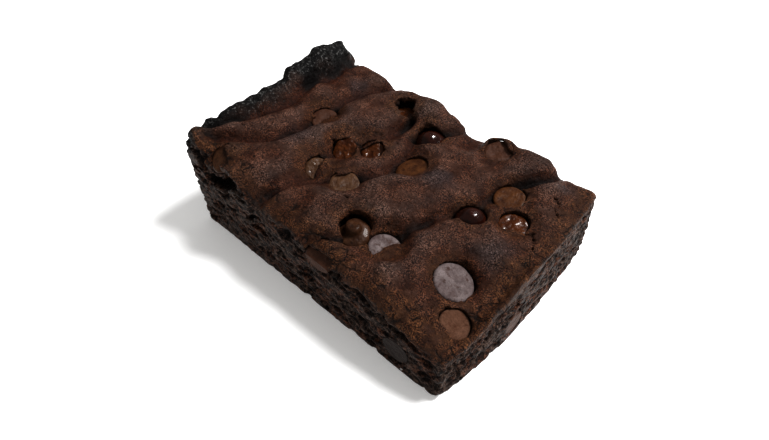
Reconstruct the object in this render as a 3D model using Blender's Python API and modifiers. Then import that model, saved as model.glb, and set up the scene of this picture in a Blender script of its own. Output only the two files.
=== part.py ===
"""A slice of chocolate-chip brownie from the end of a tray.

One solid of baked batter: a flat underside, two long knife cuts, a slightly bowed short
knife cut, and a flared end with a burnt rim where it stood against the tin.  The top
has baked into soft folds that lie across the slice.  Chocolate chips sit in the folds,
each in a socket of its own in the batter.
"""
import bpy
import bmesh
import math
import numpy as np
from mathutils import Matrix, Vector, noise

MM = 0.001

# ---- driving dimensions, in millimetres unless the name says otherwise ----
WIDTH = 66.2                  # between the two long knife cuts
PAN_FOOT = -46.1              # tin end of the underside, along the slice
PAN_FLARE = 2.4               # how far the tin leans out by the time it reaches the rim
CUT_END = 48.5                # furthest point of the bowed short cut
CUT_BOW = (2.4, 1.9)          # how much the short cut falls back at its two ends
CELLS_LONG = 44               # facets along the slice
CELLS_WIDE = 30               # facets across the slice
SIDE_ROWS = 2                 # facets up each side
SOCKET_GAP = 0.3              # clearance between a chip and the batter round it
CHIP_TURNS = 12               # facets round a chip
BAKE_UNEVEN = 0.45            # small unevenness of the crust
HALF = WIDTH / 2

# Height of the folds' valleys along the near cut and along the far cut: (x, z).
VALLEY_NEAR = [(-46, 27), (-42, 26), (-25, 23), (0, 19), (20, 16), (35, 13.5), (48, 10.5)]
VALLEY_FAR = [(-46, 27), (-42, 26), (-25, 23), (5, 21.5), (36, 20.5), (48, 19.5)]

# Creases between the folds, each a run across the slice: (x, y).
CREASES = [
    [(-48, -33), (-44.5, -22), (-41, -7), (-40.5, 0), (-41.5, 10), (-41, 20), (-42, 34)],
    [(-42, -27), (-36, -22), (-31, -15), (-29, -6), (-30.5, 5), (-31, 15), (-28, 27), (-25, 34)],
    [(-17, -34), (-15, -24), (-14.5, -15), (-16.5, -8), (-16, 1), (-10, 12), (-10.5, 22)],
    [(-13.5, -20), (-9, -13), (0, -1), (-1.5, 8), (-4, 15), (-1, 20), (4.5, 34)],
    [(0.5, -34), (11.5, -22), (18, -13), (20.5, -5), (26.5, 8), (27, 16), (34, 27), (37, 34)],
]
CREASE_SHOULDER = 4.2         # run over which a fold rises from its crease

# How far each fold stands above the valleys, along its crest: (x, y, rise).
CRESTS = [
    (-46.5, -31, 7.5), (-46, -20, 6), (-46, -10, 5.6), (-46, 0, 6.6), (-46, 9, 10),
    (-46, 18, 12.4), (-46, 26, 11.4), (-45.5, 33, 5),
    (-39, -29, 3.6), (-36, -17, 4.4), (-35.5, 0, 4.2), (-36, 14, 4.4), (-35, 31, 4.8),
    (-30, 32, 5.0), (-25, -25, 4.6), (-23.5, -7, 5.4), (-21, 6, 5.2), (-18, 20, 4.8),
    (-15, 32, 5.6), (-8, 31, 6.6), (-13, -7, 2.4), (-6.5, 4, 2.8), (-6, 16, 3.0), (-1, 32, 4.4),
    (-7, -31, 3.0), (0, -20, 4.8), (7, -9, 5.4), (12, 4, 5.2), (15, 16, 3.8), (10, 32, 0.4),
    (18, 27, 2.6), (23, 32, 5.0), (30, 32, 5.0), (15, -29, 3.0), (22, -19, 4.0), (27, -9, 4.2),
    (33, -1, 4.2), (39, 8, 3.8), (41, 20, 3.0), (42, 32, 2.2), (38, -28, 2.4), (42, -14, 2.8),
]

# Where the crust meets the near cut, (x, z), and the short cut, (y, z).
NEAR_EDGE = [(-48, 29), (-42, 28), (-36, 29.2), (-24, 28.4), (-21, 21), (-18, 17.5), (-8, 20.2),
             (2, 20.2), (8, 17.4), (18, 17.4), (29, 15.8), (39, 12.8), (46, 9.8)]
SHORT_EDGE = [(-33, 10), (-29, 13), (-23, 15.6), (-16, 18.4), (-6, 20.3), (15, 20.2),
              (24, 20.8), (33, 20.6)]

# Soft lumps where a chip is buried under the crust: (x, y, radius, rise).
LUMPS = [(24.3, -24.7, 5, 0.9), (39, -4, 5.5, 0.9), (38, 24, 5, 1.2), (42, 17.5, 4, 1.0),
         (-40, 12, 4.5, 1.2)]

# Hollows torn open: under the folds on the near cut, and over chips that sank. Each is
# its centre, half sizes, and tilt in degrees.
HOLLOWS = [((-32.5, -33.6, 25.2), (10.5, 4.6, 2.2), 10),
           ((-5.0, -33.6, 18.6), (3.2, 3.4, 1.5), 20),
           ((43.0, -33.4, 5.2), (2.6, 2.6, 1.6), 15),
           ((-15.5, 25.4, 26.4), (3.4, 3.0, 3.4), 0),
           ((8.8, -20.2, 21.6), (5.0, 4.6, 2.2), 5),
           ((27.0, 3.8, 22.2), (4.6, 4.4, 2.4), 5),
           ((-1.0, 20.4, 25.0), (4.6, 4.4, 2.6), 0)]

# Chips: name, middle of the upper end, turn of its lean, lean, radius, height, which end
# is up, and how closely the crust lies level with it.
CHIPS = [
    ("chip_bloomed_large", (34.9, -14.9, 16.9), 8, 21, 5.3, 4.6, "base", 0.9),
    ("chip_bloomed_small", (16.6, -18.7, 18.9), 3, 15, 4.4, 4.2, "base", 0.9),
    ("chip_swirl", (9.0, -20.6, 21.4), 348, 12, 4.5, 5.2, "tip", 0.0),
    ("chip_near_corner", (41.7, -23.0, 14.9), 348, 22, 3.9, 3.8, "base", 0.8),
    ("chip_gold_far", (30.1, 15.8, 21.0), 281, 11, 4.4, 4.2, "base", 0.9),
    ("chip_gold_melted", (36.0, 8.7, 19.6), 300, 12, 4.1, 3.6, "base", 0.8),
    ("chip_dark_gloss", (27.6, 2.8, 21.6), 330, 10, 4.6, 5.0, "tip", 0.0),
    ("chip_gold_middle", (3.4, 7.2, 21.8), 219, 15, 5.0, 4.2, "base", 0.9),
    ("chip_dark_arc", (-1.2, 19.6, 24.4), 290, 16, 4.7, 4.8, "tip", 0.0),
    ("chip_tan_crack", (-5.9, -10.6, 22.2), 330, 18, 4.3, 3.8, "base", 0.7),
    ("chip_tilted_pale", (-16.0, -11.6, 23.6), 330, 24, 4.2, 3.8, "base", 0.6),
    ("chip_pair_left", (-16.2, -0.4, 23.8), 280, 24, 3.8, 3.6, "base", 0.6),
    ("chip_pair_right", (-10.5, 5.4, 23.0), 290, 22, 3.8, 3.6, "base", 0.6),
    ("chip_crease_grey", (-30.2, 4.7, 25.6), 330, 18, 4.4, 3.8, "base", 0.6),
    ("chip_hole", (-15.5, 25.4, 23.8), 300, 14, 3.9, 3.8, "base", 0.0),
    ("chip_far_edge", (18.2, 28.2, 24.0), 290, 14, 4.6, 3.6, "base", 0.5),
    ("chip_over_hollow", (-33.7, -28.8, 26.9), 270, 36, 4.3, 3.8, "base", 0.5),
    ("chip_long_cut", (7.3, -31.8, 19.4), 275, 34, 4.6, 4.2, "base", 0.8),
    ("chip_in_long_cut", (33.2, -34.2, 6.5), 268, 70, 4.2, 3.8, "base", 0.0),
    ("chip_in_short_cut", (49.1, -6.2, 4.5), 4, 72, 3.8, 3.4, "base", 0.0),
]

# Outer side of a chip from its tip down to its flat base: (radius share, height share).
CHIP_SIDE = [(0.0, 1.0), (0.22, 0.88), (0.66, 0.55), (0.97, 0.26), (0.96, 0.08), (0.80, 0.0),
             (0.0, 0.0)]


# ---- clean start ----
for old in list(bpy.data.objects):
    bpy.data.objects.remove(old, do_unlink=True)
scene = bpy.context.scene
scene.unit_settings.system = 'METRIC'
shapes = scene.collection
cutters = bpy.data.collections.new("cutters")
scene.collection.children.link(cutters)


def material(name, colour, roughness):
    mat = bpy.data.materials.new(name)
    mat.use_nodes = True
    shader = mat.node_tree.nodes["Principled BSDF"]
    shader.inputs["Base Color"].default_value = (*colour, 1.0)
    shader.inputs["Roughness"].default_value = roughness
    mat.diffuse_color = (*colour, 1.0)
    return mat


def along(stations, t):
    """Height read off a short run of stations."""
    return float(np.interp(t, [s[0] for s in stations], [s[1] for s in stations]))


def crease_distance(x, y):
    best = 1e9
    for run in CREASES:
        for (ax, ay), (bx, by) in zip(run, run[1:]):
            length2 = (bx - ax) ** 2 + (by - ay) ** 2
            t = ((x - ax) * (bx - ax) + (y - ay) * (by - ay)) / length2
            t = min(1.0, max(0.0, t))
            best = min(best, math.hypot(x - ax - t * (bx - ax), y - ay - t * (by - ay)))
    return best


def shoulder(distance, run):
    """Quarter-round rise from 0 at an edge to 1 once `run` away from it."""
    c = min(1.0, max(0.0, distance / run))
    return math.sqrt(1.0 - (1.0 - c) ** 2)


def crest_rise(x, y):
    total = 0.0
    weight = 0.0
    for cx, cy, rise in CRESTS:
        w = 1.0 / (((x - cx) ** 2 + 0.35 * (y - cy) ** 2) ** 2 + 4.0)
        total += w * rise
        weight += w
    return total / weight


def short_cut_x(y):
    bow = CUT_BOW[0] if y < 0 else CUT_BOW[1]
    return CUT_END - bow * (y / HALF) ** 2


def top_height(x, y):
    """Height of the crust above the underside at a point of the slice."""
    far = (y + HALF) / WIDTH
    valley = (1 - far) * along(VALLEY_NEAR, x) + far * along(VALLEY_FAR, x)
    z = valley + crest_rise(x, y) * shoulder(crease_distance(x, y), CREASE_SHOULDER)
    for cx, cy, radius, rise in LUMPS:
        z += rise * math.exp(-((x - cx) ** 2 + (y - cy) ** 2) / (0.5 * radius * radius))
    z += BAKE_UNEVEN * noise.noise(Vector((x / 6.5, y / 6.5, 3.1)))
    for name, (cx, cy, cz), turn, lean, radius, height, way, level in CHIPS:
        reach = math.hypot(x - cx, y - cy)
        if level and reach < radius + 3.5:
            slope = math.tan(math.radians(lean))
            face = cz - slope * ((x - cx) * math.cos(math.radians(turn))
                                 + (y - cy) * math.sin(math.radians(turn)))
            blend = level * min(1.0, max(0.0, (radius + 3.5 - reach) / 3.5))
            z += (face - z) * blend * blend * (3 - 2 * blend)
    near = along(NEAR_EDGE, x)
    dragged = 6.5 if -22 < x < 9 else 3.2
    z = near + (z - near) * shoulder(y + HALF, dragged)
    short = along(SHORT_EDGE, y)
    z = short + (z - short) * shoulder(short_cut_x(y) - x, 3.0)
    z -= 2.2 * (1.0 - shoulder(HALF - y, 3.0))
    z -= 1.6 * (1.0 - shoulder(x - PAN_FOOT + PAN_FLARE, 2.0))
    return z


def pan_x(z):
    """The tin's wall leans out as it rises and the batter follows it."""
    return PAN_FOOT - PAN_FLARE * min(1.0, z / 22.0) ** 0.8


def batter_body():
    """The slice: crust facets on top, rows of facets up the four sides, flat beneath."""
    bm = bmesh.new()
    ny, nx = CELLS_WIDE + 1, CELLS_LONG + 1
    # Stations close up towards the edges, where the shoulders are.
    wide = [-HALF * math.cos(math.pi * j / CELLS_WIDE) * 0.35
            + (-HALF + WIDTH * j / CELLS_WIDE) * 0.65 for j in range(ny)]
    share = [0.5 - 0.5 * math.cos(math.pi * i / CELLS_LONG) for i in range(nx)]
    share = [0.3 * s + 0.7 * i / CELLS_LONG for i, s in enumerate(share)]
    top = {}
    foot = {}
    for j, y in enumerate(wide):
        for i, s in enumerate(share):
            x0 = PAN_FOOT - PAN_FLARE
            x = x0 + s * (short_cut_x(y) - x0)
            z = top_height(x, y)
            top[i, j] = bm.verts.new((x * MM, y * MM, z * MM))
    for j in range(CELLS_WIDE):
        for i in range(CELLS_LONG):
            corners = (top[i, j], top[i + 1, j], top[i + 1, j + 1], top[i, j + 1])
            bm.faces.new(corners)
    ring = [(i, 0) for i in range(CELLS_LONG)]
    ring += [(CELLS_LONG, j) for j in range(CELLS_WIDE)]
    ring += [(i, CELLS_WIDE) for i in range(CELLS_LONG, 0, -1)]
    ring += [(0, j) for j in range(CELLS_WIDE, 0, -1)]
    columns = []
    for i, j in ring:
        head = top[i, j].co / MM
        column = [top[i, j]]
        for row in range(SIDE_ROWS - 1, -1, -1):
            z = head.z * row / SIDE_ROWS
            lean = (pan_x(z) - pan_x(head.z)) * (1.0 - share[i]) ** 6
            column.append(bm.verts.new(((head.x + lean) * MM, head.y * MM, z * MM)))
        columns.append(column)
    for a, b in zip(columns, columns[1:] + columns[:1]):
        for row in range(SIDE_ROWS):
            bm.faces.new((a[row], a[row + 1], b[row + 1], b[row]))
    bm.faces.new([column[-1] for column in reversed(columns)])
    bmesh.ops.recalc_face_normals(bm, faces=bm.faces)
    bmesh.ops.triangulate(bm, faces=[f for f in bm.faces if len(f.verts) == 4])
    mesh = bpy.data.meshes.new("brownie")
    bm.to_mesh(mesh)
    bm.free()
    return bpy.data.objects.new("brownie", mesh)


def turned_chip(name, radius, height, grow, collection):
    """A chocolate chip turned about its own axis, grown all round by `grow`."""
    mesh = bpy.data.meshes.new(name)
    bm = bmesh.new()
    points = []
    for k, (r, h) in enumerate(CHIP_SIDE):
        rr = r * radius + (grow if r > 0 else 0.0)
        hh = h * height + grow * (1.0 if h > 0.5 else (-1.0 if h < 0.1 else 0.0))
        points.append(bm.verts.new((rr * MM, 0.0, hh * MM)))
    for a, b in zip(points, points[1:]):
        bm.edges.new((a, b))
    bm.to_mesh(mesh)
    bm.free()
    obj = bpy.data.objects.new(name, mesh)
    collection.objects.link(obj)
    turn = obj.modifiers.new("turn", 'SCREW')
    turn.axis = 'Z'
    turn.angle = 2 * math.pi
    turn.steps = CHIP_TURNS
    turn.render_steps = CHIP_TURNS
    turn.use_merge_vertices = True
    turn.merge_threshold = 0.00005
    return obj


def seated(upper, turn, lean, height, way):
    """Where a chip lies: leaned towards `turn`, with its base or its tip upward."""
    around = Matrix.Rotation(math.radians(turn), 4, 'Z')
    tilt = around @ Matrix.Rotation(math.radians(lean), 4, 'Y')
    if way == "base":
        stand = Matrix.Rotation(math.pi, 4, 'X')
    else:
        stand = Matrix.Translation((0, 0, -height * MM))
    return Matrix.Translation(Vector(upper) * MM) @ tilt @ stand


def boolean(obj, other, operation, name):
    mod = obj.modifiers.new(name, 'BOOLEAN')
    mod.object = other
    mod.operation = operation
    mod.solver = 'EXACT'


def hidden(obj):
    obj.hide_render = True
    obj.display_type = 'WIRE'


batter = material("baked_batter", (0.045, 0.025, 0.018), 0.75)
chocolate = material("chip_chocolate", (0.07, 0.04, 0.028), 0.4)

body = batter_body()
shapes.objects.link(body)
body.data.materials.append(batter)

# Each chip, and the socket that it baked itself into.
for name, upper, turn, lean, radius, height, way, level in CHIPS:
    chip = turned_chip(name, radius, height, 0.0, shapes)
    chip.data.materials.append(chocolate)
    socket = turned_chip(name + "_socket", radius, height, SOCKET_GAP, cutters)
    hidden(socket)
    place = seated(upper, turn, lean, height, way)
    chip.matrix_world = place
    socket.matrix_world = place
    boolean(body, socket, 'DIFFERENCE', name)

# The knife went through the chips that stood in its way.
knife_mesh = bpy.data.meshes.new("knife_block")
knife_bm = bmesh.new()
knife_ring = [(short_cut_x(y) - 0.05, y) for y in np.linspace(-HALF + 0.05, HALF - 0.05, 24)]
knife_ring += [(PAN_FOOT - PAN_FLARE, HALF - 0.05), (PAN_FOOT - PAN_FLARE, -HALF + 0.05)]
low = [knife_bm.verts.new((x * MM, y * MM, 0.05 * MM)) for x, y in knife_ring]
high = [knife_bm.verts.new((x * MM, y * MM, 60 * MM)) for x, y in knife_ring]
knife_bm.faces.new(list(reversed(low)))
knife_bm.faces.new(high)
for k in range(len(low)):
    n = (k + 1) % len(low)
    knife_bm.faces.new((low[k], low[n], high[n], high[k]))
bmesh.ops.recalc_face_normals(knife_bm, faces=knife_bm.faces)
knife_bm.to_mesh(knife_mesh)
knife_bm.free()
knife_block = bpy.data.objects.new("knife_block", knife_mesh)
cutters.objects.link(knife_block)
hidden(knife_block)
for name in ("chip_near_corner", "chip_long_cut", "chip_in_long_cut", "chip_in_short_cut"):
    boolean(bpy.data.objects[name], knife_block, 'INTERSECT', "knife")

# Hollows torn open under the folds.
for number, (centre, halves, tilt) in enumerate(HOLLOWS):
    bm = bmesh.new()
    bmesh.ops.create_icosphere(bm, subdivisions=2, radius=1.0)
    mesh = bpy.data.meshes.new("hollow")
    bm.to_mesh(mesh)
    bm.free()
    hollow = bpy.data.objects.new("hollow_%d" % number, mesh)
    cutters.objects.link(hollow)
    hidden(hollow)
    spread = Matrix.Diagonal((halves[0] * MM, halves[1] * MM, halves[2] * MM, 1.0))
    lean = Matrix.Rotation(math.radians(tilt), 4, 'Y')
    hollow.matrix_world = Matrix.Translation(Vector(centre) * MM) @ lean @ spread
    boolean(body, hollow, 'DIFFERENCE', "hollow_%d" % number)
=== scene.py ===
"""A slice of chocolate-chip brownie, from the end of a tray."""
import math

import bmesh
import bpy
import numpy as np
import openvdb
from mathutils import Matrix, Vector, noise


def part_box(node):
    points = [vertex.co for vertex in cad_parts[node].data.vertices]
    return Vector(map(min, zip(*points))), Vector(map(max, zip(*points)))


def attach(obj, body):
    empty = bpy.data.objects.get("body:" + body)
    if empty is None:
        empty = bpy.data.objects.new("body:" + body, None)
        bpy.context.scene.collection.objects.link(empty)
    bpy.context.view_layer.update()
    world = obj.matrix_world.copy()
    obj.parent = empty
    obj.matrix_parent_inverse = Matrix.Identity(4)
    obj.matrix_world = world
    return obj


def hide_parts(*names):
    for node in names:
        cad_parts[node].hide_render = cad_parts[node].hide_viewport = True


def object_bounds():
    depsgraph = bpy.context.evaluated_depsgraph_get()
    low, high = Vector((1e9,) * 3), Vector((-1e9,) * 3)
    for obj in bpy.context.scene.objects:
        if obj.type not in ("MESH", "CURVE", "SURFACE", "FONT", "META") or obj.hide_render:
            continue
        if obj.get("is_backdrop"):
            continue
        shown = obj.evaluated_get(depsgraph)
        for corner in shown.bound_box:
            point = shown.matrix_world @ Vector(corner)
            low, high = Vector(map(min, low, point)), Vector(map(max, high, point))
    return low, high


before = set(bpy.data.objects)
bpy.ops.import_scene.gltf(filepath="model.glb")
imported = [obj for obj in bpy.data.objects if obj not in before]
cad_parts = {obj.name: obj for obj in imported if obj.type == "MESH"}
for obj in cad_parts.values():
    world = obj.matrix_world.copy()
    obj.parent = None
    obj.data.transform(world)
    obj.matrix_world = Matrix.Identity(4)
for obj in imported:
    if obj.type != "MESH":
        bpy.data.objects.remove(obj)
cad_low, cad_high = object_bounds()

# ---- The baked batter -------------------------------------------------------------
# One piece of chocolate batter, baked in a tin.  Its crust set in soft folds across the
# slice, then a knife went down both long sides and one short side and tore the moist
# crumb open.  The fourth side stood against the tin, where the rim burnt.
MM = 0.001
GRAIN = 0.40      # spacing of the modelled surface, mm
SKIN = 8                            # how many spacings deep the surface is worked
SLICE_LOW = np.array([c / MM for c in cad_low])
SLICE_HIGH = np.array([c / MM for c in cad_high])
NEAR_CUT, FAR_CUT = SLICE_LOW[1], SLICE_HIGH[1]
TIN_END, CUT_END = SLICE_LOW[0], SLICE_HIGH[0]
CUT_BOW = (2.4, 1.9)                # the short cut falls back at its near and far ends
CRUST_THICK = 1.1
PORES_PER_CM2 = 46
MOST_FACETS = 190000
TIN_FOOT, TIN_FLARE = -46.1, 2.4    # the tin's wall leans out as it rises
CHIP_SWELL = 0.75                   # how far the batter rose round each chip, mm
ROUNDING = 0.75                     # how softly the folds are rounded, mm
FOOT_TALL = 3.4                     # height of the sharp foot of the slice, mm
WORKED_DEEP = 1.9                   # how deep the unevenness of the surface goes, mm
chip_names = sorted(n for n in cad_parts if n.startswith("chip_"))

corner = np.floor((SLICE_LOW - 2.0) / GRAIN).astype(int)
count = np.ceil((SLICE_HIGH + 2.0) / GRAIN).astype(int) - corner


def filled(node, where, size):
    """Depth of each point of a block under the surface of a CAD node, in mm."""
    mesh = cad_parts[node].data
    mesh.calc_loop_triangles()
    points = np.empty(len(mesh.vertices) * 3, np.float32)
    mesh.vertices.foreach_get("co", points)
    facets = np.empty(len(mesh.loop_triangles) * 3, np.int32)
    mesh.loop_triangles.foreach_get("vertices", facets)
    level = openvdb.FloatGrid.createLevelSetFromPolygons(
        points.reshape(-1, 3) / MM, triangles=facets.reshape(-1, 3).astype(np.uint32),
        transform=openvdb.createLinearTransform(voxelSize=GRAIN), halfWidth=SKIN)
    block = np.empty(size, np.float32)
    level.copyToArray(block, ijk=tuple(int(c) for c in where))
    return block


def softened(block, reach):
    """Blur a block along its axes; `reach` is in spacings."""
    steps = int(math.ceil(2.5 * reach))
    share = np.exp(-0.5 * (np.arange(-steps, steps + 1) / reach) ** 2)
    share /= share.sum()
    for axis in range(block.ndim):
        padded = np.pad(block, [(steps, steps) if a == axis else (0, 0)
                                for a in range(block.ndim)], mode="edge")
        total = np.zeros_like(block)
        for k, s in enumerate(share):
            part = [slice(None)] * block.ndim
            part[axis] = slice(k, k + block.shape[axis])
            total += np.float32(s) * padded[tuple(part)]
        block = total
    return block


def ease(value, low, high):
    """Soft step from 0 at `low` to 1 at `high`."""
    t = np.clip((value - low) / (high - low), 0.0, 1.0)
    return t * t * (3.0 - 2.0 * t)


def crumble(points, size, seed):
    """Smooth random unevenness from -1 to 1, `size` mm across."""
    lattice = np.random.RandomState(seed).rand(32, 32, 32).astype(np.float32) * 2 - 1
    scaled = np.asarray(points, np.float32) / size + 100.0
    base = np.floor(scaled).astype(np.int32)
    t = scaled - base
    t = t * t * (3 - 2 * t)
    base &= 31
    after = (base + 1) & 31
    total = 0.0
    for ix in (0, 1):
        wx = t[:, 0] if ix else 1 - t[:, 0]
        bx = after[:, 0] if ix else base[:, 0]
        for iy in (0, 1):
            wy = t[:, 1] if iy else 1 - t[:, 1]
            by = after[:, 1] if iy else base[:, 1]
            for iz in (0, 1):
                wz = t[:, 2] if iz else 1 - t[:, 2]
                bz = after[:, 2] if iz else base[:, 2]
                total = total + wx * wy * wz * lattice[bx, by, bz]
    return total


def short_cut(y):
    """Where the short cut stands along the slice."""
    bow = np.where(np.asarray(y) < 0, CUT_BOW[0], CUT_BOW[1])
    return CUT_END - bow * (np.asarray(y) / FAR_CUT) ** 2


batter = filled("brownie", corner, count)
for name in chip_names:
    low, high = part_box(name)
    first = np.floor(np.array(low) / MM / GRAIN).astype(int) - SKIN
    last = np.ceil(np.array(high) / MM / GRAIN).astype(int) + SKIN
    first = np.maximum(first, corner)
    last = np.minimum(last, corner + count)
    here = tuple(slice(a, b) for a, b in zip(first - corner, last - corner))
    batter[here] = np.minimum(batter[here], filled(name, first, last - first) - CHIP_SWELL)

# The foot of the slice keeps its sharp edge while the folds above are softened.
foot = int(round(FOOT_TALL / GRAIN)) - corner[2]
batter[:, :, :foot] = batter[:, :, foot:foot + 1]
batter = softened(batter, ROUNDING / GRAIN)

axes = [(corner[a] + np.arange(count[a])) * GRAIN for a in range(3)]


def crust_heights(block):
    """Height of the crust over each point of the slice."""
    inside = block < 0
    highest = count[2] - 1 - np.argmax(inside[:, :, ::-1], axis=2)
    highest = np.clip(highest, 0, count[2] - 2)
    i, j = np.indices(highest.shape)
    a = block[i, j, highest]
    b = block[i, j, highest + 1]
    part = np.clip(a / np.where(np.abs(a - b) < 1e-6, 1e-6, a - b), 0, 1)
    return np.where(inside.any(axis=2), (highest + part + corner[2]) * GRAIN, 0.0)


def on_map(sheet, x, y, margin=0.0):
    """Read a map of the slice at points kept `margin` mm in from its sides."""
    y = np.clip(y, NEAR_CUT + margin, FAR_CUT - margin)
    x = np.clip(x, TIN_END + margin * 0.6, short_cut(y) - margin)
    i = np.clip(np.rint(x / GRAIN).astype(int) - corner[0], 0, count[0] - 1)
    j = np.clip(np.rint(y / GRAIN).astype(int) - corner[1], 0, count[1] - 1)
    return sheet[i, j]


crust = crust_heights(batter)
inset = np.meshgrid(axes[0], axes[1], indexing="ij")
crust_in = on_map(crust, inset[0], inset[1], 1.8)
rise = crust_in - softened(crust_in.astype(np.float32), 3.2 / GRAIN)

band = np.nonzero(np.abs(batter) < WORKED_DEEP)
spots = np.stack([axes[a][band[a]] for a in range(3)], axis=1)


def crumb_share(points):
    """1 on the torn crumb of the three cuts, 0 on the crust and the tin side."""
    x, y, z = points[:, 0], points[:, 1], points[:, 2]
    under = ease(on_map(crust_in, x, y) - z, CRUST_THICK * 0.6, CRUST_THICK * 1.4)
    side = np.minimum(np.minimum(y - NEAR_CUT, FAR_CUT - y), short_cut(y) - x)
    return under * (1 - ease(side, 3.0, 4.2))


def burn_share(points):
    """How burnt the crust is: black on the rim at the tin, and fading off it."""
    x, y, z = points[:, 0], points[:, 1], points[:, 2]
    edge = x + 1.6 * crumble(points, 5.0, 41) - 0.06 * y + 2.2 * ease(y, 22.0, 30.0)
    return (1 - ease(edge, -45.0, -41.2)) * ease(z, 20.0, 27.0)


# Creases between the folds: (x, y) runs over the crust.
CREASES = [
    [(-47, -30), (-44.5, -22), (-41, -7), (-40.5, 0), (-41.5, 10), (-41, 20), (-42, 33)],
    [(-42, -27), (-36, -22), (-31, -15), (-29, -6), (-30.5, 5), (-31, 15), (-28, 27), (-25, 33)],
    [(-17, -33), (-15, -24), (-14.5, -15), (-16.5, -8), (-16, 1), (-10, 12), (-10.5, 22)],
    [(-13.5, -20), (-9, -13), (0, -1), (-1.5, 8), (-4, 15), (-1, 20), (4.5, 33)],
    [(0.5, -33), (11.5, -22), (18, -13), (20.5, -5), (26.5, 8), (27, 16), (34, 27), (37, 33)],
]
CREASE_DEEP = 1.5


def off_crease(x, y):
    """How far each spot lies from the nearest crease, in mm."""
    near = np.full(np.shape(x), 99.0, np.float32)
    for run in CREASES:
        for (ax, ay), (bx, by) in zip(run, run[1:]):
            length2 = (bx - ax) ** 2 + (by - ay) ** 2
            t = np.clip(((x - ax) * (bx - ax) + (y - ay) * (by - ay)) / length2, 0, 1)
            near = np.minimum(near, np.hypot(x - ax - t * (bx - ax), y - ay - t * (by - ay)))
    return near


crumb = crumb_share(spots)
burn = burn_share(spots)
crease = off_crease(spots[:, 0] + 1.1 * crumble(spots, 5.0, 21),
                    spots[:, 1] + 1.1 * crumble(spots, 5.0, 22))
strength = 0.55 + 0.45 * crumble(spots, 11.0, 23)
folds = CREASE_DEEP * strength * (1 - ease(crease, 0.2, 2.4)) - 0.35 * ease(crease, 2.0, 6.0)
layered = spots * np.array([0.6, 1.0, 2.1])
loose = 0.5 * crumble(layered, 2.3, 1) + 0.4 * crumble(layered, 1.05, 2)
smooth = 0.26 * crumble(spots, 4.2, 3) + 0.16 * crumble(spots, 1.5, 4)
blister = 0.55 * crumble(spots, 2.4, 5) + 0.3 * np.abs(crumble(spots, 1.0, 6))
batter[band] += crumb * loose + (1 - crumb) * (smooth + folds) + burn * blister


def scoop(centre, halves, turn=0.0):
    """Take an ellipsoid out of the batter; `turn` leans its long side, in degrees."""
    reach = max(halves) + 2 * GRAIN
    first = np.floor((np.array(centre) - reach) / GRAIN).astype(int) - corner
    last = np.ceil((np.array(centre) + reach) / GRAIN).astype(int) - corner
    first = np.clip(first, 0, count)
    last = np.clip(last, 0, count)
    if (last <= first).any():
        return
    here = tuple(slice(a, b) for a, b in zip(first, last))
    gx = axes[0][here[0]][:, None, None] - centre[0]
    gy = axes[1][here[1]][None, :, None] - centre[1]
    gz = axes[2][here[2]][None, None, :] - centre[2]
    c, s = math.cos(math.radians(turn)), math.sin(math.radians(turn))
    gx, gz = c * gx - s * gz, s * gx + c * gz
    far = np.sqrt((gx / halves[0]) ** 2 + (gy / halves[1]) ** 2 + (gz / halves[2]) ** 2)
    batter[here] = np.maximum(batter[here], (1 - far) * min(halves))


# Pores: bubbles in the batter that the knife cut open and dragged along the slice.
rng = np.random.RandomState(12)


def pores(face_point, area_cm2, low_x, high_x, across):
    """Open the pores of one cut; `face_point` walks along it."""
    total = int(area_cm2 * PORES_PER_CM2 * (1.0))
    for _ in range(total):
        t = rng.uniform(low_x, high_x)
        x, y = face_point(t)
        top = float(on_map(crust_in, np.array(x), np.array(y)))
        z = rng.uniform(1.1, max(1.6, top - CRUST_THICK - 0.4))
        size = min(1.6, rng.lognormal(-0.8, 0.5))
        thickness = min(0.8, size * rng.uniform(0.30, 0.62))
        depth = size * rng.uniform(0.7, 1.5)
        lengthways = size * rng.uniform(1.1, 3.0)
        turn = rng.normal(0, 14)
        if across:
            scoop((x - 0.2 * depth, y, z), (depth, lengthways, thickness))
        else:
            inward = 0.2 * depth * (1 if y < 0 else -1)
            scoop((x, y + inward, z), (lengthways, depth, thickness), turn)


pores(lambda t: (t, NEAR_CUT), 19.0, TIN_END + 3, CUT_END - 3, False)
pores(lambda t: (t, FAR_CUT), 19.0, TIN_END + 3, CUT_END - 3, False)
pores(lambda t: (float(short_cut(t)), t), 11.0, NEAR_CUT + 1, FAR_CUT - 1, True)

# The crust lifts off the crumb along the near cut, and a dark gap runs under it.
for x in np.arange(11.5, 44.0, 0.5):
    edge = float(on_map(crust, np.array(x), np.array(NEAR_CUT), 0.9))
    gap = 1.45 + 0.3 * math.sin(x * 0.8) + 0.2 * math.sin(x * 2.3)
    tall = 0.42 + 0.22 * math.sin(x * 0.55 + 2.0) + rng.uniform(-0.08, 0.12)
    scoop((x, NEAR_CUT, edge - gap), (0.9, rng.uniform(1.6, 2.8), tall), 12)
# Under the highest fold the gap opens into a hollow.
for x in np.arange(-43.0, -22.5, 0.7):
    edge = float(on_map(crust_in, np.array(x), np.array(NEAR_CUT)))
    depth = 1.8 + 3.6 * math.exp(-((x + 33) / 8.0) ** 2)
    tall = 0.8 + 1.5 * math.exp(-((x + 34) / 7.0) ** 2) + rng.uniform(-0.2, 0.3)
    scoop((x, NEAR_CUT, edge - 2.4 - tall + 0.04 * x), (1.4, depth, tall), 8)
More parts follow.
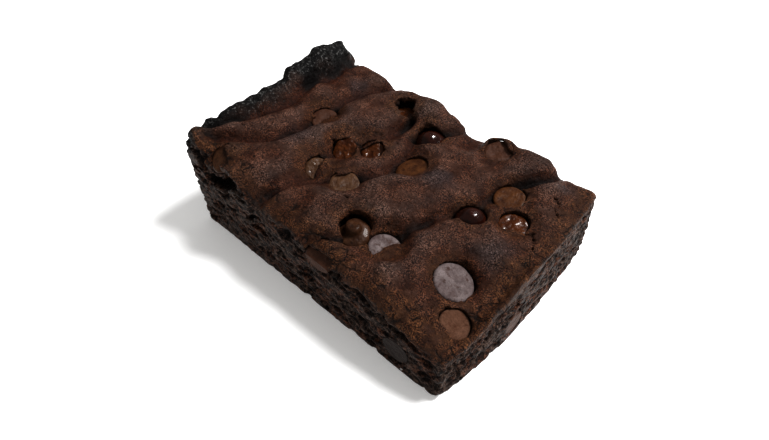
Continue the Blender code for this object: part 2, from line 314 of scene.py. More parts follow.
# Larger single tears in the near cut: place along it, height, half length, half height.
TEARS = [
    (-20.5, 14.6, 1.6, 0.6), (-5.0, 18.0, 3.0, 1.1), (-1.5, 17.2, 1.8, 0.7), (4.0, 8.0, 1.8, 0.8),
    (44.0, 5.2, 2.3, 1.2), (41.0, 4.4, 1.6, 0.7), (-30.0, 13.0, 2.4, 0.6), (-38.0, 9.0, 2.2, 0.7),
    (14.0, 4.6, 2.6, 0.7), (22.0, 9.0, 2.2, 0.6), (-14.0, 6.0, 2.2, 0.8), (-24.0, 20.0, 2.0, 0.6),
]
for x, z, long_half, tall in TEARS:
    scoop((x, NEAR_CUT, z), (long_half, 1.8, tall), rng.uniform(-5, 18))

# Cracks where the crust tore as it set: (x, y) runs.
CRACKS = [
    [(-39.8, -17.8), (-37.6, -19.0)], [(-36.6, -12.4), (-34.6, -14.4)],
    [(40.4, 21.2), (42.4, 19.8), (41.4, 17.6), (44.0, 16.8)],
    [(39.6, 7.4), (42.0, 7.8), (44.2, 5.2), (43.4, 2.2)],
    [(18.0, 32.4), (20.6, 31.0), (22.4, 28.4)], [(12.4, 32.0), (13.4, 28.2)],
    [(-3.4, -15.4), (1.4, -16.6)], [(-24.0, 24.0), (-21.0, 26.4)],
]


def torn(run, wide, deep, skip):
    """Open a crack along a run of points on the crust."""
    for (ax, ay), (bx, by) in zip(run, run[1:]):
        steps = max(2, int(math.hypot(bx - ax, by - ay) / 0.3))
        for k in range(steps):
            x = ax + (bx - ax) * k / steps
            y = ay + (by - ay) * k / steps
            wobble = noise.noise(Vector((x * 0.9, y * 0.9, 7.7)))
            if noise.noise(Vector((x * 0.33, y * 0.33, 2.2))) < skip:
                continue
            x += 1.1 * wobble
            y += 1.1 * noise.noise(Vector((x * 0.9, y * 0.9, 1.3)))
            z = float(on_map(crust, np.array(x), np.array(y)))
            thin = wide * (0.62 + 0.9 * abs(noise.noise(Vector((x * 1.3, y * 1.3, 9.1)))))
            scoop((x, y, z), (thin, thin, deep * (0.7 + 0.6 * abs(wobble))))


for run in CREASES:
    torn(run, 0.34, 0.9, -0.05)
for run in CRACKS:
    torn(run, 0.30, 0.9, -0.6)
BESIDE_PAIR = [(-13.2, 9.0), (-11.4, 11.2), (-8.6, 10.4), (-6.2, 11.4)]
torn(BESIDE_PAIR, 0.34, 1.2, -0.9)

# ---- Sockets of the chips ---------------------------------------------------------
# Baking chips of drop shape were stirred into the batter.  Most lie with their flat base
# up, level with the crust; three stand tip up in a hollow.  Three were cut by the knife.
# The batter set round each one, and the crust tore open along some of their rims.
CHIP_RINGS = 34
CHIP_TURNS = 56
CHIP_GAP = 0.10
TIP_FULL = 0.6                      # chips that stand tip up have slumped fuller
CHIP_SUNK = 0.35                    # crust that baked up round every chip
CHIP_SIDE = [(0.0, 1.0), (0.08, 0.985), (0.22, 0.88), (0.44, 0.70), (0.66, 0.54), (0.86, 0.38),
             (0.97, 0.24), (1.0, 0.15), (0.97, 0.06), (0.88, 0.01), (0.76, 0.0), (0.60, 0.004),
             (0.45, 0.008), (0.30, 0.012), (0.15, 0.014), (0.0, 0.015)]
# name: turn of its lean, lean, radius, height, end that is up, finish, how uneven,
# how far it sank, side that the crust laps over, share left showing
CHIPS = {
    "chip_bloomed_large": (8, 21, 5.3, 4.6, "base", "bloomed", 0.10, 0.15, 0, 1.0),
    "chip_bloomed_small": (3, 15, 4.4, 4.2, "base", "bloomed", 0.06, 0.30, 350, 0.62),
    "chip_swirl": (348, 12, 4.5, 5.2, "tip", "olive", 0.10, -1.5, 0, 1.0),
    "chip_near_corner": (348, 22, 3.9, 3.8, "base", "matte", 0.06, 0.30, 260, 0.88),
    "chip_gold_far": (281, 11, 4.4, 4.2, "base", "gold", 0.05, 0.15, 0, 1.0),
    "chip_gold_melted": (300, 12, 4.1, 3.6, "base", "amber", 0.30, 0.25, 300, 0.84),
    "chip_dark_gloss": (330, 10, 4.6, 5.0, "tip", "gloss", 0.10, -1.5, 0, 1.0),
    "chip_gold_middle": (219, 15, 5.0, 4.2, "base", "gold", 0.08, 0.2, 0, 1.0),
    "chip_dark_arc": (290, 16, 4.7, 4.8, "tip", "gloss", 0.10, -1.3, 0, 1.0),
    "chip_tan_crack": (330, 18, 4.3, 3.8, "base", "tan", 0.22, 0.35, 120, 0.62),
    "chip_tilted_pale": (330, 34, 3.7, 4.4, "base", "tan", 0.30, 1.1, 30, 0.58),
    "chip_pair_left": (300, 34, 3.8, 3.6, "base", "amber", 0.55, 0.7, 130, 0.72),
    "chip_pair_right": (300, 30, 3.8, 3.6, "base", "amber", 0.60, 0.9, 150, 0.62),
    "chip_crease_grey": (330, 22, 4.4, 3.8, "base", "milk", 0.10, 0.3, 315, 0.50),
    "chip_hole": (300, 14, 3.9, 3.8, "base", "amber", 0.15, 0.4, 0, 1.0),
    "chip_far_edge": (290, 14, 4.6, 3.6, "base", "milk", 0.25, 0.45, 60, 0.72),
    "chip_over_hollow": (270, 36, 4.3, 3.8, "base", "olive", 0.18, 0.6, 60, 0.50),
    "chip_long_cut": (275, 34, 4.6, 4.2, "base", "milk", 0.08, 0.5, 90, 0.42),
    "chip_in_long_cut": (268, 70, 4.2, 3.8, "base", "dusk", 0.10, 0.0, 0, 1.0),
    "chip_in_short_cut": (4, 72, 3.8, 3.4, "base", "milk", 0.12, 0.0, 0, 1.0),
}
# Where the crust stands open along a chip's rim: from and to, in degrees, and how wide.
OPEN_RIMS = {
    "chip_swirl": (30, 240, 0.42), "chip_bloomed_small": (20, 130, 0.55),
    "chip_bloomed_large": (10, 125, 0.45), "chip_gold_middle": (95, 245, 0.22),
    "chip_gold_far": (10, 150, 0.50), "chip_dark_gloss": (80, 190, 0.38),
    "chip_near_corner": (130, 260, 0.40), "chip_tan_crack": (60, 170, 0.60),
    "chip_tilted_pale": (0, 140, 0.85), "chip_pair_left": (70, 220, 0.90),
    "chip_pair_right": (60, 180, 1.00), "chip_crease_grey": (60, 150, 0.30),
    "chip_gold_melted": (30, 120, 0.40), "chip_hole": (40, 200, 0.70),
    "chip_far_edge": (20, 110, 0.45), "chip_dark_arc": (60, 200, 0.35),
}
# The knife shortened these, so their boxes don't give their middles.
CUT_MIDDLES = {
    "chip_long_cut": (7.2, -30.6, 17.7),
    "chip_in_long_cut": (33.2, -32.4, 5.9),
    "chip_in_short_cut": (47.5, -6.3, 4.0),
}


def chip_place(name):
    """From a chip's own axes, base at the origin and tip up, to the slice, in mm."""
    turn, lean, radius, height, way, finish, rough, sunk = CHIPS[name][:8]
    low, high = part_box(name)
    middle = (Vector(low) + Vector(high)) / 2 / MM
    if name in CUT_MIDDLES:
        middle = Vector(CUT_MIDDLES[name])
    place = Matrix.Translation(middle) @ Matrix.Rotation(math.radians(turn), 4, 'Z')
    place = place @ Matrix.Rotation(math.radians(lean), 4, 'Y')
    if way == "base":
        place = place @ Matrix.Rotation(math.pi, 4, 'X')
    place = Matrix.Translation((0, 0, -sunk - CHIP_SUNK)) @ place
    return place @ Matrix.Translation((0, 0, -height / 2))


def side_radius(share):
    """Radius share of a chip's side at each height share, for sinking its socket."""
    heights = np.array([h for r, h in reversed(CHIP_SIDE[:8])])
    radii = np.array([r for r, h in reversed(CHIP_SIDE[:8])])
    return np.interp(share, heights, radii)


def sink_socket(name, gap):
    """Clear the batter away from a chip, leaving a thin gap round it."""
    turn, lean, radius, height, way, finish, rough, sunk, lap_turn, showing = CHIPS[name]
    place = np.array(chip_place(name))
    reach = radius + 2.5
    middle = place[:3, 3] + place[:3, 2] * height / 2
    first = np.clip(np.floor((middle - reach) / GRAIN).astype(int) - corner, 0, count)
    last = np.clip(np.ceil((middle + reach) / GRAIN).astype(int) - corner, 0, count)
    here = tuple(slice(a, b) for a, b in zip(first, last))
    gx, gy, gz = np.meshgrid(axes[0][here[0]], axes[1][here[1]], axes[2][here[2]], indexing="ij")
    local = np.stack([gx - place[0, 3], gy - place[1, 3], gz - place[2, 3]], -1) @ place[:3, :3]
    out = np.hypot(local[..., 0], local[..., 1])
    up = local[..., 2]
    fuller = TIP_FULL if way == "tip" else 1.0
    wall = side_radius(np.clip(up / height, 0, 1)) ** fuller * radius + gap
    clear = np.minimum((wall - out) * 0.8, up + gap)
    clear = np.minimum(clear, height + gap - up)
    begin, end, wide = OPEN_RIMS.get(name, (0, 1, 0.0))
    round_chip = np.degrees(np.arctan2(gy - middle[1], gx - middle[0]))
    off_arc = np.abs((round_chip - (begin + end) / 2 + 180) % 360 - 180) - (end - begin) / 2
    stands_open = 1 - ease(off_arc, -28.0, 6.0)
    flat = np.stack([gx, gy, gz], -1).reshape(-1, 3)
    torn_back = stands_open * wide * (1.0 + 1.3 * crumble(flat, 0.9, 93).reshape(out.shape))
    if way == "base":
        # Over the chip the crust is open, with a ragged edge, except where it laps over.
        ragged = 0.30 * crumble(flat, 1.3, 91).reshape(out.shape)
        toward = ((gx - middle[0]) * math.cos(math.radians(lap_turn))
                  + (gy - middle[1]) * math.sin(math.radians(lap_turn)))
        opening = radius * 0.95 + 0.8 * ragged + torn_back - out
        if showing < 1.0:
            opening = np.minimum(opening, radius * (2 * showing - 1) - toward + 1.4 * ragged)
        above = np.minimum(np.minimum(opening, 0.4 + 1.5 * stands_open * (wide > 0) - up), up + 4.0)
        clear = np.maximum(clear, above)
    else:
        ragged = crumble(flat, 1.5, 92).reshape(out.shape)
        opening = radius * 0.84 + 0.30 * ragged + torn_back - out
        above = np.minimum(opening, up - height * 0.34)
        clear = np.maximum(clear, above)
    batter[here] = np.maximum(batter[here], clear)


for name in chip_names:
    sink_socket(name, CHIP_GAP)

# ---- Crust and crumb --------------------------------------------------------------
# The outside of the batter: a dry sandy crust on the folds, black where it burnt at the
# tin, and moist open crumb on the cuts.  The slice stands on its level underside.
batter = np.maximum(batter, -axes[2][None, None, :].astype(np.float32))
grid = openvdb.FloatGrid(SKIN * GRAIN)
grid.copyFromArray(np.clip(batter, -SKIN * GRAIN, SKIN * GRAIN).astype(np.float32))
points, quads = grid.convertToQuads(0.0)
points = (points + corner) * GRAIN
points[:, 0] = np.clip(points[:, 0], SLICE_LOW[0], SLICE_HIGH[0])
points[:, 1] = np.clip(points[:, 1], SLICE_LOW[1], SLICE_HIGH[1])
points[:, 2] = np.clip(points[:, 2], 0.0, SLICE_HIGH[2])
mesh = bpy.data.meshes.new("batter")
mesh.vertices.add(len(points))
mesh.vertices.foreach_set("co", (points * MM).astype(np.float32).ravel())
mesh.loops.add(len(quads) * 4)
mesh.loops.foreach_set("vertex_index", quads[:, ::-1].astype(np.int32).ravel())
mesh.polygons.add(len(quads))
mesh.polygons.foreach_set("loop_start", np.arange(0, len(quads) * 4, 4, dtype=np.int32))
mesh.update(calc_edges=True)
mesh.validate()

# One face closes the level underside; scraps that the knife freed are swept away.
bm = bmesh.new()
bm.from_mesh(mesh)
level = [f for f in bm.faces if all(v.co.z < 0.02 * MM for v in f.verts)]
bmesh.ops.delete(bm, geom=level, context='FACES')
unseen = set(bm.verts)
islands = []
while unseen:
    seed = unseen.pop()
    stack, island = [seed], [seed]
    while stack:
        for edge in stack.pop().link_edges:
            for v in edge.verts:
                if v in unseen:
                    unseen.remove(v)
                    stack.append(v)
                    island.append(v)
    islands.append(island)
islands.sort(key=len)
for island in islands[:-1]:
    bmesh.ops.delete(bm, geom=island, context='VERTS')
rims = [e for e in bm.edges if len(e.link_faces) == 1]
bmesh.ops.holes_fill(bm, edges=rims, sides=0)
bmesh.ops.triangulate(bm, faces=[f for f in bm.faces if len(f.verts) > 4])
bmesh.ops.recalc_face_normals(bm, faces=bm.faces)
bm.to_mesh(mesh)
bm.free()

# Flat stretches need fewer facets than torn ones, so the skin is thinned out.
slice_body = bpy.data.objects.new("batter", mesh)
bpy.context.scene.collection.objects.link(slice_body)
facets = sum(len(polygon.vertices) - 2 for polygon in mesh.polygons)
thin = slice_body.modifiers.new("thin", 'DECIMATE')
thin.ratio = min(1.0, MOST_FACETS / facets)
dense = mesh
mesh = bpy.data.meshes.new_from_object(
    slice_body.evaluated_get(bpy.context.evaluated_depsgraph_get()))
slice_body.modifiers.clear()
slice_body.data = mesh
mesh.name = "batter_skin"
bpy.data.meshes.remove(dense)
for polygon in mesh.polygons:
    polygon.use_smooth = True

# What each spot gets: crumb share, burn, painted shade in the hollows and pores, and rise above the
# folds' mean, which paints sheen on the crests and shade in the valleys.
where = np.empty(len(mesh.vertices) * 3, np.float32)
mesh.vertices.foreach_get("co", where)
where = where.reshape(-1, 3) / MM
# Painted shade: spots that lie under the crust's surface, in the hollows, go dark; the tin's wall
# is kept clear of it.
hollow_shade = ease(on_map(crust, where[:, 0], where[:, 1]) - where[:, 2], 0.35, 1.6)
tin_wall = TIN_FOOT - TIN_FLARE * np.clip(where[:, 2] / 22.0, 0, 1) ** 0.8
hollow_shade *= ease(where[:, 0] - tin_wall, 1.0, 2.4)
near_side = np.minimum(where[:, 1] - NEAR_CUT, short_cut(where[:, 1]) - where[:, 0])
near_side = np.minimum(near_side, FAR_CUT - where[:, 1])
crumb = crumb_share(where)
# Painted shade: on the cuts the spots deeper than the cut's face, inside the pores, go dark;
# elsewhere the hollows under the crust do.
sunk = np.where(crumb > 0.5, ease(near_side, 0.5, 1.9), hollow_shade)
# Rise above the folds' mean: it paints a lighter, greyer sheen on the crests and darker shade in
# the valleys.
crest_and_valley_light = np.clip(0.5 + on_map(rise, where[:, 0], where[:, 1]) / 3.2, 0, 1)
bake_and_painted_light = mesh.color_attributes.new("bake_and_painted_light", 'FLOAT_COLOR', 'POINT')
values = np.stack([crumb, burn_share(where), sunk, crest_and_valley_light], axis=1).astype(np.float32)
bake_and_painted_light.data.foreach_set("color", values.ravel())

# Warmer tones by the near cuts and round the chips, and patches of painted grey sheen: x, y, reach.
SHEEN_PATCHES = [(39, -4.5, 5.0), (-27, -9, 5.0), (41, 27, 3.5), (-33, 22, 4.0), (13, 6, 5.0)]
by_cut = np.minimum(where[:, 1] - NEAR_CUT, short_cut(where[:, 1]) - where[:, 0])
by_cut = 1 - ease(by_cut + 2.0 * crumble(where, 4.0, 17), 1.0, 8.0)
by_chip = np.zeros(len(where))
for name in chip_names:
    low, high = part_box(name)
    middle = np.array((Vector(low) + Vector(high)) / 2 / MM)
    away = np.linalg.norm((where - middle)[:, :2], axis=1)
    by_chip = np.maximum(by_chip, 1 - ease(away + 1.0 * crumble(where, 2.5, 18), 4.6, 7.5))
sheen_patch = np.zeros(len(where))
for x, y, wide in SHEEN_PATCHES:
    away = np.hypot(where[:, 0] - x, where[:, 1] - y) + 1.6 * crumble(where, 3.0, 19)
    sheen_patch = np.maximum(sheen_patch, 1 - ease(away, wide * 0.3, wide * 1.3))
tone_and_painted_light = mesh.color_attributes.new("tone_and_painted_light", 'FLOAT_COLOR', 'POINT')
# Painted shade along the creases between the folds.
crease_shade = off_crease(where[:, 0] + 1.1 * crumble(where, 5.0, 21),
                       where[:, 1] + 1.1 * crumble(where, 5.0, 22))
crease_shade = (1 - ease(crease_shade, 0.1, 2.1)) * (0.62 + 0.38 * crumble(where, 7.0, 24))
values = np.stack([by_cut, by_chip, sheen_patch, crease_shade], axis=1).astype(np.float32)
tone_and_painted_light.data.foreach_set("color", values.ravel())


class Finish:
    """A material whose nodes are added in the order a finish is built up."""

    def __init__(self, name, roughness, gloss=0.5, coat=0.0):
        self.mat = bpy.data.materials.new(name)
        self.mat.use_nodes = True
        self.tree = self.mat.node_tree
        self.shader = self.tree.nodes["Principled BSDF"]
        self.shader.inputs["Roughness"].default_value = roughness
        self.shader.inputs["Specular IOR Level"].default_value = gloss
        self.shader.inputs["Coat Weight"].default_value = coat
        self.shader.inputs["Coat Roughness"].default_value = 0.12
        self.place = self.tree.nodes.new("ShaderNodeTexCoord").outputs["Object"]

    def speckle(self, size_mm, detail=3.0, rough=0.55, stretch=None):
        source = self.place
        if stretch:
            mapping = self.tree.nodes.new("ShaderNodeMapping")
            mapping.inputs["Scale"].default_value = stretch
            self.tree.links.new(source, mapping.inputs["Vector"])
            source = mapping.outputs["Vector"]
        tex = self.tree.nodes.new("ShaderNodeTexNoise")
        tex.inputs["Scale"].default_value = 1.0 / (size_mm * MM)
        tex.inputs["Detail"].default_value = detail
        tex.inputs["Roughness"].default_value = rough
        self.tree.links.new(source, tex.inputs["Vector"])
        return tex.outputs["Fac"]

    def cracks(self, size_mm, waver):
        """Distance from a net of fine cracks; `waver` bends the net."""
        tex = self.tree.nodes.new("ShaderNodeTexVoronoi")
        tex.feature = 'DISTANCE_TO_EDGE'
        tex.inputs["Scale"].default_value = 1.0 / (size_mm * MM)
        bend = self.tree.nodes.new("ShaderNodeTexNoise")
        bend.inputs["Scale"].default_value = 1.0 / (1.6 * MM)
        shift = self.tree.nodes.new("ShaderNodeVectorMath")
        shift.operation = 'MULTIPLY_ADD'
        shift.inputs[1].default_value = (waver * 4 * MM,) * 3
        self.tree.links.new(self.place, bend.inputs["Vector"])
        self.tree.links.new(bend.outputs["Color"], shift.inputs[0])
        self.tree.links.new(self.place, shift.inputs[2])
        self.tree.links.new(shift.outputs["Vector"], tex.inputs["Vector"])
        return tex.outputs["Distance"]

    def ramp(self, factor, *stops):
        node = self.tree.nodes.new("ShaderNodeValToRGB")
        band = node.color_ramp
        while len(band.elements) < len(stops):
            band.elements.new(0.5)
        for element, (spot, colour) in zip(band.elements, stops):
            element.position = spot
            element.color = (*colour, 1.0) if len(colour) == 3 else colour
        self.tree.links.new(factor, node.inputs["Fac"])
        return node.outputs["Color"]

    def level(self, factor, low, high):
        """A grey ramp from 0 to 1 between two values."""
        node = self.tree.nodes.new("ShaderNodeMapRange")
        node.inputs["From Min"].default_value = low
        node.inputs["From Max"].default_value = high
        self.tree.links.new(factor, node.inputs["Value"])
        return node.outputs["Result"]

    def maths(self, operation, a, b=None):
        node = self.tree.nodes.new("ShaderNodeMath")
        node.operation = operation
        for socket, value in zip(node.inputs, (a, b)):
            if value is None:
                continue
            if isinstance(value, (int, float)):
                socket.default_value = value
            else:
                self.tree.links.new(value, socket)
        return node.outputs["Value"]

    def blend(self, factor, a, b, way='MIX'):
        node = self.tree.nodes.new("ShaderNodeMix")
        node.data_type = 'RGBA'
        node.blend_type = way
        for socket, value in ((node.inputs[0], factor), (node.inputs[6], a), (node.inputs[7], b)):
            if isinstance(value, (int, float)):
                socket.default_value = value
            elif isinstance(value, tuple):
                socket.default_value = (*value, 1.0)
            else:
                self.tree.links.new(value, socket)
        return node.outputs[2]

    def attribute(self, name):
        node = self.tree.nodes.new("ShaderNodeAttribute")
        node.attribute_name = name
        parts = self.tree.nodes.new("ShaderNodeSeparateColor")
        self.tree.links.new(node.outputs["Color"], parts.inputs["Color"])
        return parts.outputs[0], parts.outputs[1], parts.outputs[2], node.outputs["Alpha"]

    def bumps(self, *layers):
        """Each layer is a height and its depth in mm."""
        normal = None
        for height, depth in layers:
            node = self.tree.nodes.new("ShaderNodeBump")
            node.inputs["Strength"].default_value = 1.0
            node.inputs["Distance"].default_value = depth * MM
            self.tree.links.new(height, node.inputs["Height"])
            if normal:
                self.tree.links.new(normal, node.inputs["Normal"])
            normal = node.outputs["Normal"]
        self.tree.links.new(normal, self.shader.inputs["Normal"])

    def colour(self, socket):
        self.tree.links.new(socket, self.shader.inputs["Base Color"])

    def roughness(self, socket):
        self.tree.links.new(socket, self.shader.inputs["Roughness"])


baked = Finish("baked_batter", 0.5, gloss=0.15)
crumb_part, burnt, deep, crest_and_valley_part = baked.attribute("bake_and_painted_light")
near_cut, near_chip, sheen_part, crease_shade_part = baked.attribute("tone_and_painted_light")
sandy = baked.speckle(0.75, 4.0, 0.75)
mottle = baked.speckle(5.5, 4.0, 0.6)
fine = baked.speckle(0.34, 2.0, 0.6)
wrinkled = baked.speckle(2.0, 3.0, 0.6)
warm = baked.ramp(mottle, (0.37, (0.0300, 0.0088, 0.0040)), (0.50, (0.0550, 0.0210, 0.0115)),
                  (0.64, (0.0800, 0.0370, 0.0245)))
# Valleys: darker red, partly their own tone and partly painted shade. Crests: greyer and lighter, a
# painted sheen.
valley_tone_and_shade = baked.ramp(sandy, (0.36, (0.0190, 0.0048, 0.0019)), (0.64, (0.0660, 0.0195, 0.0076)))
crest_sheen = baked.ramp(sandy, (0.36, (0.0340, 0.0180, 0.0130)), (0.64, (0.1080, 0.0740, 0.0640)))
grey_sheen = baked.ramp(sandy, (0.36, (0.0200, 0.0160, 0.0175)), (0.64, (0.0620, 0.0520, 0.0570)))
golden = baked.ramp(wrinkled, (0.34, (0.0250, 0.0078, 0.0026)), (0.66, (0.0820, 0.0350, 0.0140)))
top = baked.blend(baked.level(crest_and_valley_part, 0.20, 0.50), valley_tone_and_shade, warm)
top = baked.blend(baked.maths('MULTIPLY', baked.level(crest_and_valley_part, 0.52, 0.85), 0.85), top, crest_sheen)
# Painted sheen: grey patches on the crust.
top = baked.blend(baked.maths('MULTIPLY', sheen_part, 0.45), top, grey_sheen)
top = baked.blend(baked.maths('MULTIPLY', near_chip, 0.60), top, golden)
top = baked.blend(baked.maths('MULTIPLY', near_cut, 0.70), top, golden)
# Fine specks: the dark ones are the crust's own grain; the bright ones, over twice the base colour,
# are painted glints.
specks_and_glints = baked.ramp(fine, (0.38, (0.20, 0.16, 0.14)), (0.49, (0.78, 0.77, 0.76)),
                  (0.62, (2.3, 2.3, 2.25)))
specked_and_glinting = baked.blend(1.0, top, specks_and_glints, 'MULTIPLY')
plain = baked.blend(1.0, top, (0.80, 0.78, 0.76), 'MULTIPLY')
top = baked.blend(baked.level(baked.speckle(3.6), 0.38, 0.52), plain, specked_and_glinting)
# Creases: darker red, partly their own tone and partly painted shade; their floor is painted near
# black as shade.
top = baked.blend(baked.maths('MULTIPLY', crease_shade_part, 0.90), top, (0.0290, 0.0066, 0.0024))
crease_floor_shade = baked.maths('MULTIPLY', baked.level(crease_shade_part, 0.55, 0.90), 0.75)
top = baked.blend(crease_floor_shade, top, (0.0075, 0.0018, 0.0008))
crazing = baked.cracks(3.4, 0.5)
hairline = baked.ramp(crazing, (0.0, (1.0, 1.0, 1.0)), (0.09, (0.0, 0.0, 0.0)))
crazed = baked.maths('MULTIPLY', hairline, baked.level(baked.speckle(6.0), 0.48, 0.58))
crazed = baked.maths('MULTIPLY', crazed, baked.level(near_cut, -0.15, 0.35))
top = baked.blend(crazed, top, (0.006, 0.0025, 0.0015))
# The crumb's near-black low end is painted shade in its finest pores; the lighter strands are its
# own colour.
open_crumb = baked.speckle(1.2, 6.0, 0.8, (1.0, 1.0, 1.8))
inner = baked.ramp(open_crumb, (0.42, (0.0022, 0.0009, 0.0005)), (0.50, (0.0270, 0.0140, 0.0096)),
                   (0.60, (0.1300, 0.0880, 0.0700)))
inner = baked.blend(baked.level(mottle, 0.46, 0.60), inner,
                    baked.blend(1.0, inner, (1.20, 0.74, 0.50), 'MULTIPLY'))
shade = baked.blend(crumb_part, top, inner)
# Burnt rim: black char with grey-white specks that are painted glints.
char_and_glints = baked.ramp(baked.speckle(0.9, 6.0, 0.85), (0.45, (0.0012, 0.0009, 0.0009)),
                 (0.55, (0.0052, 0.0042, 0.0041)), (0.64, (0.2000, 0.1960, 0.1900)))
shade = baked.blend(burnt, shade, char_and_glints)
# Painted shade: near black in the hollows and pores.
shade = baked.blend(baked.maths('MULTIPLY', deep, 0.9), shade, (0.0022, 0.0008, 0.0005))
baked.colour(shade)
baked.roughness(baked.level(sandy, 1.40, -0.30))
puckered = baked.speckle(1.2, 3.0, 0.6, (1.7, 0.6, 1.0))
baked.bumps((mottle, 0.5), (wrinkled, 0.6), (puckered, 0.55), (sandy, 0.42), (fine, 0.18),
            (crazed, -0.2))
mesh.materials.append(baked.mat)
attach(slice_body, "root")
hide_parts("brownie")

# ---- The chocolate chips ----------------------------------------------------------
# Each chip is solid chocolate, turned to a drop and softened by the oven.  Some bloomed
# pale, some melted and set glossy.  The knife shaved the ones that stood at a cut.
SWIRL_DEEP, SWIRL_TIGHT = 0.55, 9.0
KNIFE_SHY = 0.12                    # how far a cut chip stays behind the cut, mm
BLOOM_BUMPS = [(1.4, -1.6, 0.7), (0.2, -0.6, 0.6), (-1.2, 1.0, 0.9), (2.4, 0.4, 0.5)]
chip_looks = {}


def chocolate(name, dark, light, roughness, coat, film, film_share, shine=0.12):
    look = Finish("chocolate_" + name, roughness, gloss=shine, coat=coat)
    cloud = look.speckle(2.4, 4.0, 0.6)
    dust = look.speckle(0.35, 3.0, 0.6)
    base = look.ramp(cloud, (0.32, dark), (0.68, light))
    speck = look.ramp(dust, (0.35, (0.8, 0.8, 0.8)), (0.7, (1.15, 1.15, 1.15)))
    base = look.blend(1.0, base, speck, 'MULTIPLY')
    patch = look.level(look.speckle(1.6, 3.0, 0.65), 0.62 - film_share, 0.78 - film_share)
    look.colour(look.blend(patch, base, film))
    look.roughness(look.maths('ADD', look.maths('MULTIPLY', dust, 0.25), roughness - 0.12))
    look.bumps((cloud, 0.55 if roughness > 0.35 else 0.30), (dust, 0.08))
    chip_looks[name] = look.mat


chocolate("bloomed", (0.072, 0.050, 0.048), (0.150, 0.122, 0.120), 0.62, 0.0,
          (0.048, 0.026, 0.021), 0.08)
chocolate("gold", (0.040, 0.0130, 0.0040), (0.092, 0.0360, 0.0115), 0.40, 0.15,
          (0.026, 0.0078, 0.0024), 0.05)
chocolate("amber", (0.032, 0.0075, 0.0014), (0.078, 0.0225, 0.0042), 0.28, 0.35,
          (0.016, 0.0040, 0.0010), 0.06)
chocolate("tan", (0.045, 0.0190, 0.0085), (0.095, 0.0500, 0.0260), 0.40, 0.15,
          (0.030, 0.0100, 0.0030), 0.03)
chocolate("gloss", (0.0100, 0.0020, 0.0010), (0.034, 0.0075, 0.0036), 0.16, 0.7,
          (0.030, 0.0090, 0.0045), 0.0)
chocolate("olive", (0.026, 0.0090, 0.0036), (0.066, 0.0290, 0.0135), 0.44, 0.10,
          (0.014, 0.0050, 0.0020), 0.04)
chocolate("milk", (0.046, 0.0175, 0.0090), (0.072, 0.0320, 0.0190), 0.50, 0.05,
          (0.030, 0.0105, 0.0052), 0.05)
chocolate("matte", (0.074, 0.036, 0.022), (0.112, 0.060, 0.040), 0.80, 0.0,
          (0.050, 0.020, 0.011), 0.05, shine=0.03)
chocolate("dusk", (0.018, 0.0110, 0.0090), (0.034, 0.0230, 0.0190), 0.50, 0.05,
          (0.012, 0.0060, 0.0040), 0.04)

for number, name in enumerate(chip_names):
    turn, lean, radius, height, way, finish, rough = CHIPS[name][:7]
    bm = bmesh.new()
    walk = np.linspace(0, len(CHIP_SIDE) - 1, CHIP_RINGS)
    shares = [np.interp(walk, np.arange(len(CHIP_SIDE)), [p[c] for p in CHIP_SIDE])
              for c in (0, 1)]
    fuller = TIP_FULL if way == "tip" else 1.0
    outline = [bm.verts.new((r ** fuller * radius, 0, h * height)) for r, h in zip(*shares)]
    runs = [bm.edges.new(pair) for pair in zip(outline, outline[1:])]
    bmesh.ops.spin(bm, geom=outline + runs, cent=(0, 0, 0), axis=(0, 0, 1),
                   angle=2 * math.pi, steps=CHIP_TURNS, use_duplicate=False)
    bmesh.ops.remove_doubles(bm, verts=bm.verts, dist=0.005)
    bmesh.ops.recalc_face_normals(bm, faces=bm.faces)
    bm.normal_update()
    for v in bm.verts:
        p = v.co.copy()
        spot = p * 0.42 + Vector((number * 3.1, 0, 0))
        small = p * 1.3 + Vector((0, number * 2.3, 0))
        swell = rough * noise.noise(spot) + rough * 0.4 * noise.noise(small)
        out = math.hypot(p.x, p.y) / radius
        if finish == "olive" and way == "tip":
            swirl = math.atan2(p.y, p.x) + out * SWIRL_TIGHT
            swell += SWIRL_DEEP * math.sin(swirl) * min(1.0, out * 2)
        if name == "chip_bloomed_large" and p.z < 0.3:
            for bx, by, size in BLOOM_BUMPS:
                swell += 0.5 * math.exp(-((p.x - bx) ** 2 + (p.y - by) ** 2) / size)
        v.co = p + v.normal * (swell - 0.04)
    bm.transform(chip_place(name))
    if name in CUT_MIDDLES:
        if "short" in name:
            spot_y = CUT_MIDDLES[name][1]
            plane = Vector((float(short_cut(spot_y)) - KNIFE_SHY, spot_y, 0))
            facing = Vector((1, 0, 0))
        else:
            plane = Vector((0, NEAR_CUT + KNIFE_SHY, 0))
            facing = Vector((0, -1, 0))
        cut = bmesh.ops.bisect_plane(bm, geom=bm.verts[:] + bm.edges[:] + bm.faces[:],
                                     plane_co=plane, plane_no=facing, clear_outer=True)
        edges = [e for e in cut["geom_cut"] if isinstance(e, bmesh.types.BMEdge)]
        if edges:
            bmesh.ops.holes_fill(bm, edges=edges, sides=0)
    bmesh.ops.scale(bm, vec=(MM, MM, MM), verts=bm.verts)
    mesh = bpy.data.meshes.new(name + "_baked")
    bm.to_mesh(mesh)
    bm.free()
    for polygon in mesh.polygons:
        polygon.use_smooth = len(polygon.vertices) <= 4
    mesh.materials.append(chip_looks[finish])
    chip = bpy.data.objects.new(name + "_baked", mesh)
    bpy.context.scene.collection.objects.link(chip)
    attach(chip, "root")
    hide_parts(name)

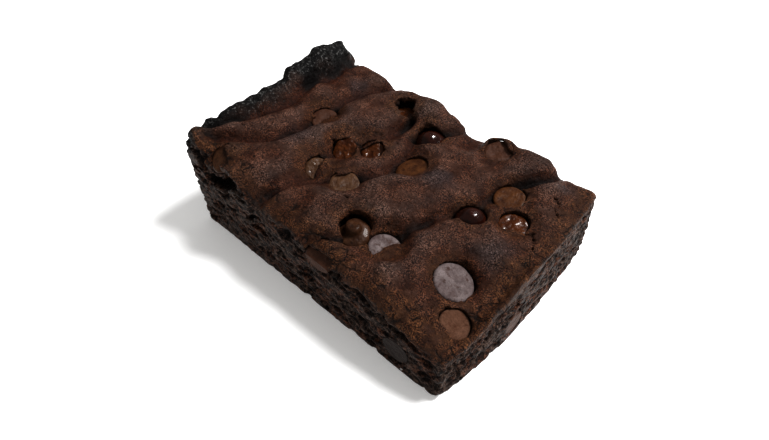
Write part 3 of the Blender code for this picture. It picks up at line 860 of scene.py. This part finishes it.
# ---- Floor, light and camera --------------------------------------------------------
# A plain pale floor under soft light that comes mostly from above, behind and right.
FLOOR_HALF = 1.5
FLOOR_FILL = 0.16                   # light that the room bounces back off the floor
floor_mesh = bpy.data.meshes.new("floor")
bm = bmesh.new()
bmesh.ops.create_grid(bm, x_segments=1, y_segments=1, size=FLOOR_HALF)
bm.to_mesh(floor_mesh)
bm.free()
floor = bpy.data.objects.new("floor", floor_mesh)
bpy.context.scene.collection.objects.link(floor)
paper = Finish("pale_floor", 0.9, gloss=0.2)
paper.colour(paper.ramp(paper.speckle(9.0), (0.0, (0.86, 0.86, 0.86)), (1.0, (0.90, 0.90, 0.90))))
paper.shader.inputs["Emission Color"].default_value = (1.0, 0.99, 0.97, 1.0)
paper.shader.inputs["Emission Strength"].default_value = FLOOR_FILL
floor_mesh.materials.append(paper.mat)
floor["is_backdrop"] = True

world = bpy.data.worlds.new("soft_room")
bpy.context.scene.world = world
world.use_nodes = True
world.node_tree.nodes["Background"].inputs["Color"].default_value = (1.0, 0.995, 0.985, 1.0)
# The room's glow is dimmed in the reflections, so that the glints come mostly from the window.
WORLD_GLOW, WORLD_SHEEN = 0.66, 0.25
path = world.node_tree.nodes.new("ShaderNodeLightPath")
glow = world.node_tree.nodes.new("ShaderNodeMapRange")
glow.inputs["To Min"].default_value = WORLD_GLOW
glow.inputs["To Max"].default_value = WORLD_SHEEN
world.node_tree.links.new(path.outputs["Is Glossy Ray"], glow.inputs["Value"])
world.node_tree.links.new(glow.outputs["Result"],
                          world.node_tree.nodes["Background"].inputs["Strength"])


def lamp(name, spot, size, watts):
    """A round soft lamp that faces the slice."""
    data = bpy.data.lights.new(name, 'AREA')
    data.shape = 'DISK'
    data.size = size
    data.energy = watts
    obj = bpy.data.objects.new(name, data)
    bpy.context.scene.collection.objects.link(obj)
    obj.location = spot
    aim = Vector((0, 0, 0.01)) - Vector(spot)
    obj.rotation_euler = aim.to_track_quat('-Z', 'Y').to_euler()


lamp("window", (0.26, 0.34, 0.66), 0.26, 10.5)

# The camera looks down on the thin corner: turn, rise and roll in degrees, place in metres.
CAMERA_TURN, CAMERA_RISE, CAMERA_ROLL = 43.67, 42.15, -0.78
CAMERA_SPOT = Vector((0.0790, -0.0839, 0.1092))
a, e, r = (math.radians(v) for v in (CAMERA_TURN, CAMERA_RISE, CAMERA_ROLL))
back = Vector((math.sin(a) * math.cos(e), -math.cos(a) * math.cos(e), math.sin(e)))
right = Vector((math.cos(a), math.sin(a), 0))
up = back.cross(right)
right, up = right * math.cos(r) + up * math.sin(r), up * math.cos(r) - right * math.sin(r)
lens = bpy.data.cameras.new("camera")
lens.sensor_width = 36.0
lens.lens = 24.27
lens.clip_start = 0.005
camera = bpy.data.objects.new("camera", lens)
bpy.context.scene.collection.objects.link(camera)
turned = Matrix((right, up, back)).transposed().to_4x4()
camera.matrix_world = Matrix.Translation(CAMERA_SPOT) @ turned
bpy.context.scene.camera = camera
bpy.context.scene.view_settings.view_transform = 'Standard'
bpy.context.scene.view_settings.gamma = 0.78

low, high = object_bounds()
